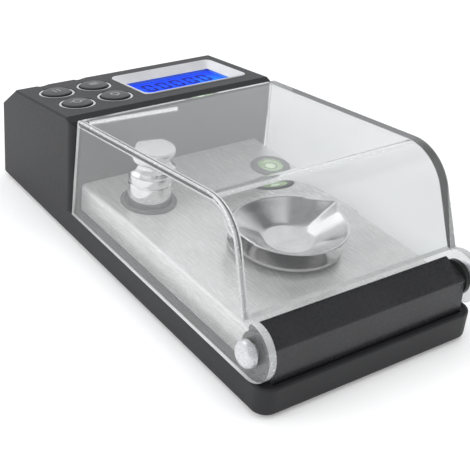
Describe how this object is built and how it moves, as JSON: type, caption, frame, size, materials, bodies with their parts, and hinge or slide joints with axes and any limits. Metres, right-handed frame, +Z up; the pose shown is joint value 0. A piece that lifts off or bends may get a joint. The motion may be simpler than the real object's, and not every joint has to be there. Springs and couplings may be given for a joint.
{
  "type": "digital precision scale",
  "caption": "Pocket milligram scale: sloped display head with keys, steel deck, weighing pan and calibration weight under a hinged clear draft cover.",
  "frame": {"origin": "middle of the footprint, on the table under the feet", "axes": "+Z up, -Y towards the user who reads the display, +Y towards the cover's hinge, +X to the user's right"},
  "size_m": [0.0806, 0.1479, 0.0503],
  "materials": {
    "black_shell": "fine moulded satin",
    "black_base": "moulded satin",
    "black_bar": "satin gloss",
    "black_spacer": "satin",
    "black_door": "moulded satin",
    "black_key": "satin, slightly crowned",
    "clear_acrylic": "clear polished acrylic",
    "rubber": "matte",
    "grey_rubber": "matte",
    "grey_silicone": "matte",
    "screw_steel": "plated",
    "silver_pin": "satin silver",
    "stainless_deck": "brushed",
    "stainless_tray": "turned",
    "stainless_pan": "spun, half polished",
    "chrome_weight": "polished",
    "chrome_trim": "polished",
    "grey_level": "satin",
    "level_green": "clear liquid look",
    "level_clear": "clear",
    "silver_plastic": "satin silver paint",
    "display_window": "clear",
    "blue_display": "lit display",
    "white_plastic": "diffuse white",
    "board_green": "solder mask",
    "chip_black": "moulded epoxy",
    "aluminium_beam": "machined",
    "battery_sleeve": "plain sleeve",
    "nickel_contact": "nickel plated"
  },
  "bodies": {
    "root": {"upper_housing": "black_shell", "base_plate": "black_base", "rubber_feet": "rubber", "case_screws": "screw_steel", "hinge_bar": "black_bar", "hinge_bar_screws": "screw_steel", "hinge_pin_left": "silver_pin", "hinge_pin_right": "silver_pin", "hinge_spacers": "black_spacer", "deck_plate": "stainless_deck", "weight_seat": "grey_rubber", "level_body": "grey_level", "level_liquid": "level_green", "level_lens": "level_clear", "lcd_bezel": "silver_plastic", "lcd_window": "display_window", "lcd_glass": "blue_display", "lcd_backlight": "white_plastic", "key_trim_rings": "chrome_trim", "key_mat": "grey_silicone", "main_board": "board_green", "board_parts": "chip_black", "board_screws": "screw_steel", "load_cell": "aluminium_beam", "load_cell_screws": "screw_steel", "batteries": "battery_sleeve", "battery_contacts": "nickel_contact"},
    "cover": {"draft_cover": "clear_acrylic"},
    "platform": {"load_platform": "stainless_tray"},
    "pan": {"weighing_pan": "stainless_pan"},
    "weight": {"calibration_weight": "chrome_weight"},
    "door": {"battery_door": "black_door"},
    "key_power": {"key_power": "black_key"},
    "key_tare": {"key_tare": "black_key"},
    "key_units": {"key_units": "black_key"},
    "key_count": {"key_count": "black_key"}
  },
  "joints": [
    {"name": "cover_hinge", "type": "hinge", "parent": "root", "child": "cover", "pos_m": [0, 0.0664, 0.0178], "axis": [-1, 0, 0], "range_deg": [0, 105]},
    {"name": "key_power_press", "type": "slide", "parent": "root", "child": "key_power", "axis": [0, 0.1501, -0.9887], "range_m": [0, 0.0008], "stiffness_N_per_m": 1200, "springref_m": -0.0002},
    {"name": "key_tare_press", "type": "slide", "parent": "root", "child": "key_tare", "axis": [0, 0.1501, -0.9887], "range_m": [0, 0.0008], "stiffness_N_per_m": 1200, "springref_m": -0.0002},
    {"name": "key_units_press", "type": "slide", "parent": "root", "child": "key_units", "axis": [0, 0.1501, -0.9887], "range_m": [0, 0.0008], "stiffness_N_per_m": 1200, "springref_m": -0.0002},
    {"name": "key_count_press", "type": "slide", "parent": "root", "child": "key_count", "axis": [0, 0.1501, -0.9887], "range_m": [0, 0.0008], "stiffness_N_per_m": 1200, "springref_m": -0.0002},
    {"name": "platform_press", "type": "slide", "parent": "root", "child": "platform", "axis": [0, 0, -1], "range_m": [0, 0.0004], "stiffness_N_per_m": 4000, "springref_m": -0.0002},
    {"name": "pan_lift", "type": "slide", "parent": "platform", "child": "pan", "axis": [0, 0, 1], "range_m": [0, 0.016]},
    {"name": "weight_lift", "type": "slide", "parent": "root", "child": "weight", "axis": [0, 0, 1], "range_m": [0, 0.003]},
    {"name": "door_slide", "type": "slide", "parent": "root", "child": "door", "axis": [0, -1, 0], "range_m": [0, 0.032]}
  ]
}
